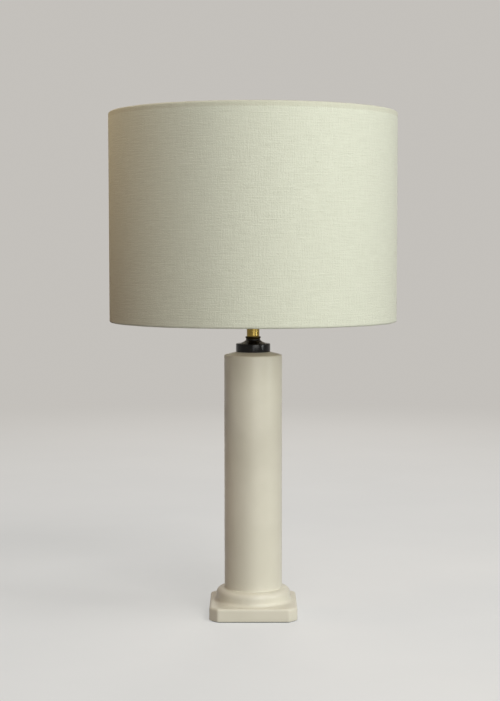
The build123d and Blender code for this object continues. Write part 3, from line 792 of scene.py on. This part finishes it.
def build_switch():
    bar_low, bar_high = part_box("switch_bar")
    knob_low, knob_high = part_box("switch_knobs")
    height = (bar_low.z + bar_high.z) / 2
    bar_radius = (bar_high.z - bar_low.z) / 2
    knob_radius = (knob_high.z - knob_low.z) / 2
    bar = rounded(
        [
            (0, bar_low.x),
            (bar_radius, bar_low.x, 0.3 * MM),
            (bar_radius, bar_high.x, 0.3 * MM),
            (0, bar_high.x),
        ]
    )
    bar = lathe(divided(bar, 4 * MM), 48, closed=False)
    place(piece("switch_rod", bar, brass, turned=along_x(height)), "switch", "brass", "switch_bar")
    shapes = []
    knob_length = 5 * MM
    for outer_end, out in ((knob_low.x, -1), (knob_high.x, 1)):
        inner_end = outer_end - out * knob_length
        knob = rounded(
            [
                (bar_radius, inner_end),
                (knob_radius - 0.6 * MM, inner_end, 0.3 * MM),
                (knob_radius, inner_end + out * 1.2 * MM, 0.6 * MM),
                (knob_radius, outer_end - out * 0.9 * MM, 0.8 * MM),
                (knob_radius - 1.4 * MM, outer_end, 1.0 * MM),
                (0, outer_end),
            ],
            steps=6,
        )
        shapes.append(lathe([*knob, (0, inner_end + out * 0.5 * MM)], 64, closed=True))
    knobs = piece("switch_buttons", joined(shapes), brass, turned=along_x(height), sharp=50)
    place(knobs, "switch", "brass", "switch_knobs")


build_holder_cup()
build_skirt()
build_ring_nut("shade_ring_lower", "ring_nut_lower")
build_ring_nut("shade_ring_upper", "ring_nut_upper")
build_screw_shell()
build_switch()

# ---------------------------------------------------------------- bulb


def build_bulb():
    glass_bottom = low("bulb_glass").z
    base_low, base_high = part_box("bulb_base")
    centre = bulb_top - bulb_radius
    neck_radius = 12.5 * MM
    base_top = base_high.z
    slope = radians(35)
    join = (bulb_radius * cos(slope), centre - bulb_radius * sin(slope))
    pull = 0.5 * (join[1] - base_top)
    corners = [
        np.array([neck_radius, base_top]),
        np.array([neck_radius, base_top + pull]),
        np.array([join[0] - sin(slope) * pull * 0.8, join[1] - cos(slope) * pull * 0.8]),
        np.array(join),
    ]
    neck = []
    for share in np.linspace(0, 1, 15)[:-1]:
        rest = 1 - share
        weights = (rest**3, 3 * rest**2 * share, 3 * rest * share**2, share**3)
        neck.append(tuple(sum(weight * corner for weight, corner in zip(weights, corners))))
    globe = arc((0, centre), bulb_radius, -35, 90, 36)
    section = [(0, glass_bottom), (neck_radius, glass_bottom)] + neck + globe
    glass = piece("bulb_globe", lathe(section, 160, closed=False), opal, sharp=60)
    place(glass, "bulb", "opal_glass", "bulb_glass")
    angles = circle(144)
    base_radius = base_high.x
    shoulder = base_low.z + 1.6 * MM
    crest = base_radius - 0.05 * MM
    thread_depth = 0.95 * MM
    thread_top = base_top - 3.4 * MM
    rim = [
        (base_radius, base_top - 2.8 * MM),
        (base_radius, base_top - 0.3 * MM),
        (base_radius - 0.3 * MM, base_top),
        (0, base_top),
    ]
    rings = rings_of(angles, [(0, base_low.z), (11 * MM, base_low.z)])
    rings += threaded(angles, crest, thread_depth, edison_pitch, shoulder, thread_top)
    rings += rings_of(angles, rim)
    base = piece("bulb_thread", skin(rings, closed=False), nickel, sharp=60)
    place(base, "bulb", "bulb_metal", "bulb_base")


build_bulb()

# ---------------------------------------------------------------- shade carrier


def bent_path(corners, radius, spacing):
    """Points along a wire through (reach, height) corners, its inner corners bent to the radius."""
    points = [(reach, height, radius) for reach, height in corners]
    return divided(rounded(points, steps=10), spacing)


def bead(centre, size, seed):
    """A small lump of weld."""
    shape = []
    angles = circle(14)
    for lift in np.linspace(-pi / 2, pi / 2, 9):
        spots = [Vector((cos(a) * 2, sin(a) * 2, lift + seed)) for a in angles]
        wobble = 1 + 0.18 * np.array([noise.noise(spot) for spot in spots])
        points = ring(angles, size[0] * cos(lift) * wobble, size[2] * sin(lift))
        points[:, 1] *= size[1] / size[0]
        shape.append(points)
    vertices, faces = skin(shape, closed=False)
    turn = atan2(centre[1], centre[0])
    spin = np.array([[cos(turn), -sin(turn), 0], [sin(turn), cos(turn), 0], [0, 0, 1]])
    return vertices @ spin.T + np.array(centre), faces


def build_carrier():
    ring_low, ring_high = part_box("carrier_ring")
    hole_radius = skirt_radius + 0.5 * MM
    plate = rounded(
        [
            (hole_radius, ring_low.z, 0.3 * MM),
            (ring_high.x, ring_low.z, 0.4 * MM),
            (ring_high.x, ring_high.z, 0.4 * MM),
            (hole_radius, ring_high.z, 0.3 * MM),
        ],
        closed=True,
    )
    carrier = piece("carrier_plate", lathe(plate, 160), white_wire)
    place(carrier, "shade", "wire_white", "carrier_ring")
    arm_radius = 1.5 * MM
    arm_height = ring_high.z + 0.1 * MM + arm_radius
    inner_end = nut_radius + 1.2 * MM
    bend = inner_end + 30 * MM
    drop = arm_height - bottom_wire
    run = wire_circle - bend
    slope_length = hypot(run, drop)
    gap = wire_radius + 0.1 * MM
    outer_end = (wire_circle - gap * run / slope_length, bottom_wire + gap * drop / slope_length)
    shapes = []
    for azimuth in (90, 210, 330):
        turn = radians(azimuth)
        path = bent_path([(inner_end, arm_height), (bend, arm_height), outer_end], 14 * MM, 4 * MM)
        radii = [arm_radius] * len(path)
        path = [path[0], (path[0][0] + 0.4 * MM, path[0][1]), *path[1:]]
        radii = [arm_radius * 0.8, arm_radius, *radii[1:]]
        points = [(reach * cos(turn), reach * sin(turn), height) for reach, height in path]
        shapes.append(tube_along(points, radii, 20))
        weld_reach = ring_high.x - 1.4 * MM
        for reach, height, size in (
            (weld_reach, ring_high.z + 0.3 * MM, (2.6, 2.1, 0.9)),
            (outer_end[0], outer_end[1], (1.6, 2.3, 1.6)),
        ):
            centre = (reach * cos(turn), reach * sin(turn), height)
            shapes.append(bead(centre, [value * MM for value in size], azimuth))
    arms = piece("carrier_wires", joined(shapes), white_wire, sharp=60)
    place(arms, "shade", "wire_white", "carrier_arms")
    for node, name, height in (
        ("shade_top_ring", "hoop_top", top_wire),
        ("shade_bottom_ring", "hoop_bottom", bottom_wire),
    ):
        hoop = lathe(arc((wire_circle, height), wire_radius, 0, 360, 12)[:-1], 240)
        place(piece(name, hoop, white_wire, sharp=60), "shade", "wire_white", node)


build_carrier()

# ---------------------------------------------------------------- linen shade


def shade_angles():
    """Angles round the shade, with extra ones at the seam's two edges."""
    even = circle(540)
    edges = [seam_azimuth, seam_azimuth + seam_width / shade_radius]
    extra = [edge + step * 0.25 * MM / shade_radius for edge in edges for step in range(-3, 4)]
    return np.array(sorted(set(even) | set(extra)))


def build_linen():
    angles = shade_angles()
    half = linen / 2
    hem = wire_radius + hem_slack + half
    wall = shade_radius - half
    tuck = wire_circle - wire_radius - hem_slack - half
    tuck_end = liner_outer - liner - 0.4 * MM
    line = rounded(
        [
            (tuck_end, bottom_wire + hem),
            (tuck, bottom_wire + hem, 1.5 * MM),
            (tuck, bottom_wire - hem, 2.2 * MM),
            (wall, bottom_wire - hem, 2.2 * MM),
            (wall, top_wire + hem, 2.2 * MM),
            (tuck, top_wire + hem, 2.2 * MM),
            (tuck, top_wire - hem, 1.5 * MM),
            (tuck_end, top_wire - hem),
        ],
        steps=6,
    )
    line = divided(line, 3.4 * MM)
    points = np.array(line)
    step = np.gradient(points, axis=0)
    normal = np.stack([step[:, 1], -step[:, 0]], axis=1)
    normal /= np.linalg.norm(normal, axis=1)[:, None]
    outside = points + normal * half
    inside = points - normal * half
    hem_zone = 4 * MM
    wall_rows = (points[:, 1] > bottom_wire + hem_zone) & (points[:, 1] < top_wire - hem_zone)
    kept = [i for i in range(len(points)) if not wall_rows[i] or i % 12 == 0]
    # Uneven cloth: faint puckers in the wall and a hem edge that is not quite level
    around = np.stack([np.cos(angles), np.sin(angles)], axis=1)
    edge_wave = np.array([noise.noise(Vector((x * 9, y * 9, 3))) for x, y in around]) * 0.22 * MM
    from_seam = (angles - seam_azimuth) * shade_radius
    lap_height, lap_edge = 0.55 * MM, 0.5 * MM
    lap = np.clip(from_seam / lap_edge, 0, 1) * np.clip((seam_width - from_seam) / lap_edge, 0, 1)
    lap *= lap_height
    crease = 6.3 * MM
    wave_fade = 9 * MM
    rings = []
    for radius, height in [*outside, *[inside[i] for i in kept[::-1]]]:
        outer_side = len(rings) < len(outside)
        in_wall = radius > wall - 1.2 * linen
        to_edge = min(height - shade_bottom, shade_top - height)
        reach = np.full_like(angles, radius)
        if outer_side and in_wall:
            reach -= 0.22 * MM * np.exp(-(((to_edge - crease) / (1.3 * MM)) ** 2))
            if to_edge > hem_zone:
                reach += lap * min(1, (to_edge - hem_zone) / (2 * MM))
                pucker = [noise.noise(Vector((x * 5, y * 5, height * 9))) for x, y in around]
                reach += np.array(pucker) * 0.14 * MM - 0.07 * MM
        towards_edge = np.sign(height - (shade_top + shade_bottom) / 2)
        lift = edge_wave * np.clip(1 - to_edge / wave_fade, 0, 1) * towards_edge
        rings.append(ring(angles, reach, height + lift))
    cloth = piece("linen_drum", skin(rings, closed=True), linen_material, sharp=80)
    return place(cloth, "shade", "linen", "shade_linen")


def build_liner():
    liner_low, liner_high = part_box("shade_liner")
    inner = liner_outer - liner
    bottom, top = liner_low.z, liner_high.z
    corners = [(inner, bottom), (liner_outer, bottom), (liner_outer, top), (inner, top)]
    section = divided([*corners, corners[0]], 16 * MM)[:-1]
    lining = piece("liner_drum", lathe(section, 360), liner_material)
    return place(lining, "shade", "liner", "shade_liner")


def build_fibres():
    """Fine linen fibres that stand off the cloth, a few of them longer at the lamp's right."""
    shapes = []
    lowest, highest = shade_bottom + 6 * MM, shade_top - 4 * MM
    spots = [(rng.uniform(0, tau), rng.uniform(lowest, highest), 1.0) for _ in range(110)]
    # The longer fibres: azimuth in degrees, height in millimetres and relative length
    long_fibres = ((-3, 556, 1.9), (2, 531, 1.5), (-6, 519, 2.2), (1, 498, 1.6))
    spots += [(radians(azimuth), height * MM, size) for azimuth, height, size in long_fibres]
    for azimuth, height, size in spots:
        outwards = Vector((cos(azimuth), sin(azimuth), 0))
        sideways = Vector((-sin(azimuth), cos(azimuth), 0))
        start = outwards * (shade_radius - 0.2 * MM) + Vector((0, 0, height))
        lean = sideways * rng.uniform(-0.8, 0.8) + Vector((0, 0, rng.uniform(-0.6, 1.0)))
        heading = (outwards * rng.uniform(0.4, 1.1) + lean).normalized()
        points = [start]
        for _ in range(6):
            bend = Vector([rng.uniform(-0.5, 0.5) for _ in range(3)])
            heading = (heading + bend).normalized()
            points.append(points[-1] + heading * rng.uniform(0.35, 0.65) * MM * size)
        shapes.append(tube_along(points, 0.07 * MM * sqrt(size), 4))
    fibres = piece("linen_fibres", joined(shapes), linen_material, sharp=80)
    return place(fibres, "shade", "linen")


cloth = build_linen()
build_liner()
fibres = build_fibres()

# ---------------------------------------------------------------- CAD nodes that stay


def dress(material, *nodes):
    """Gives CAD nodes that keep their own mesh a material."""
    for node in nodes:
        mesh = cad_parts[node].data
        mesh.materials.clear()
        mesh.materials.append(material)


dress(zinc, "clamp_plate", "bottom_washer", "bottom_nut", "threaded_rod")
dress(zinc, "holder_lock_nut", "holder_grub_screw")
dress(grommet_plastic, "cable_grommet")
dress(porcelain, "holder_insulator")
dress(brass, "terminal_screws")
dress(bronze, "centre_contact")
dress(black_glass, "bulb_insulator")
dress(solder, "bulb_tip")

# ---------------------------------------------------------------- stage, light and camera

BACKGROUND = (0.55, 0.53, 0.5)
AMBIENT = (0.125, 0.066, 0.043)
FLOOR_GLOW = (0.455, 0.47, 0.465)


def seen_rays(tree):
    """1 for rays that see the stage, straight, mirrored or through glass, and 0 for those that light it."""
    path = tree.nodes.new("ShaderNodeLightPath")
    seen = path.outputs["Is Camera Ray"]
    for name in ("Is Glossy Ray", "Is Transmission Ray"):
        either = tree.nodes.new("ShaderNodeMath")
        either.operation = "MAXIMUM"
        tree.links.new(seen, either.inputs[0])
        tree.links.new(path.outputs[name], either.inputs[1])
        seen = either.outputs[0]
    return seen


def build_floor():
    """A matt floor that keeps the lamp's shadow, glows pale to the rays that see it and fades far off."""
    s = Shader("floor_paint", Roughness=0.95, Specular_IOR_Level=0.0)
    place = s.place()
    mottle = s.noise(place, 3.0, 4.0)
    s.set("Base Color", s.mix(s.between(mottle, 0.3, 0.7), (0.32, 0.312, 0.3), (0.345, 0.337, 0.325)))
    s.set("Normal", s.bump(s.noise(place, 300.0, 2.0), 0.0005, 0.15))
    seen = seen_rays(s.tree)
    s.principled.inputs["Emission Color"].default_value = (*FLOOR_GLOW, 1)
    s.set("Emission Strength", seen)
    far = s.node("ShaderNodeVectorMath", {0: place}, operation="LENGTH").outputs["Value"]
    fade = s.math("MULTIPLY", s.between(far, 0.5, 2.6), seen)
    glow = s.node("ShaderNodeEmission", {"Color": (*BACKGROUND, 1), "Strength": 1.0})
    blend = s.node("ShaderNodeMixShader", {0: fade})
    s.tree.links.new(s.principled.outputs[0], blend.inputs[1])
    s.tree.links.new(glow.outputs[0], blend.inputs[2])
    s.tree.links.new(blend.outputs[0], s.tree.nodes["Material Output"].inputs["Surface"])
    angles = circle(96)
    rings = [ring(angles, radius, 0.0) for radius in (0.0, 0.4, 1.0, 2.5, 6.0, 14.0)]
    floor = piece("floor", skin(rings, closed=False), s.material)


def build_world():
    """The pale backdrop wherever it is seen, and a faint warm light from all round."""
    world = bpy.data.worlds.new("studio")
    bpy.context.scene.world = world
    world.use_nodes = True
    tree = world.node_tree
    colour = tree.nodes.new("ShaderNodeMix")
    colour.data_type = "RGBA"
    colour.inputs[6].default_value = (*AMBIENT, 1)
    colour.inputs[7].default_value = (*BACKGROUND, 1)
    tree.links.new(seen_rays(tree), colour.inputs["Factor"])
    tree.links.new(colour.outputs[2], tree.nodes["Background"].inputs["Color"])


def add_light(
    name, azimuth, distance, height, target, size, power, colour=(1, 1, 1), spread=180, mirrored=True
):
    """A soft box in metres and watts; azimuth is in degrees from the front towards the lamp's right."""
    light = bpy.data.lights.new(name, "AREA")
    light.shape = "RECTANGLE"
    light.size, light.size_y = size
    light.energy = power
    light.color = colour
    light.spread = radians(spread)
    source = bpy.data.objects.new(name, light)
    bpy.context.scene.collection.objects.link(source)
    source.location = (distance * sin(radians(azimuth)), -distance * cos(radians(azimuth)), height)
    source.rotation_euler = (Vector((0, 0, target)) - source.location).to_track_quat("-Z", "Y").to_euler()
    source.visible_camera = False
    source.visible_glossy = mirrored


def build_camera():
    """The photograph's view: a long lens level with the lower half of the shade, looking slightly down."""
    frame_height = 701
    focal_pixels = 1534.4
    sensor = 36.0
    camera = bpy.data.cameras.new("camera")
    camera.sensor_fit = "VERTICAL"
    camera.sensor_height = sensor
    camera.lens = focal_pixels * sensor / frame_height
    camera.clip_end = 100
    view = bpy.data.objects.new("camera", camera)
    bpy.context.scene.collection.objects.link(view)
    tilt, roll = radians(3.88), radians(-0.05)
    place = Matrix.Translation((-3.8 * MM, -1876 * MM, 452.9 * MM))
    view.matrix_world = place @ Matrix.Rotation(pi / 2 - tilt, 4, "X") @ Matrix.Rotation(roll, 4, "Z")
    bpy.context.scene.camera = view


build_floor()
build_world()
add_light("key", 67, 2.1, 0.6, 0.36, (0.3, 0.8), 8.5, (0.95, 1.0, 0.99))
add_light("fill", 22, 2.7, 1.0, 0.3, (1.5, 1.5), 39.5, (1.0, 1.0, 0.97))
add_light("glint", 3, 2.1, 0.3, 0.3, (0.15, 0.8), 1.6)
add_light("top", 45, 1.2, 1.9, 0.5, (0.6, 0.6), 13)
add_light("rim", -98, 0.72, 1.0, 0.58, (0.25, 0.25), 0.4, (1.0, 0.8, 0.56), spread=70)
add_light("back", 176, 2.7, 1.0, 0.3, (1.5, 1.5), 30, (1.0, 0.97, 0.93), mirrored=False)
build_camera()

bpy.context.scene.view_settings.view_transform = "Standard"
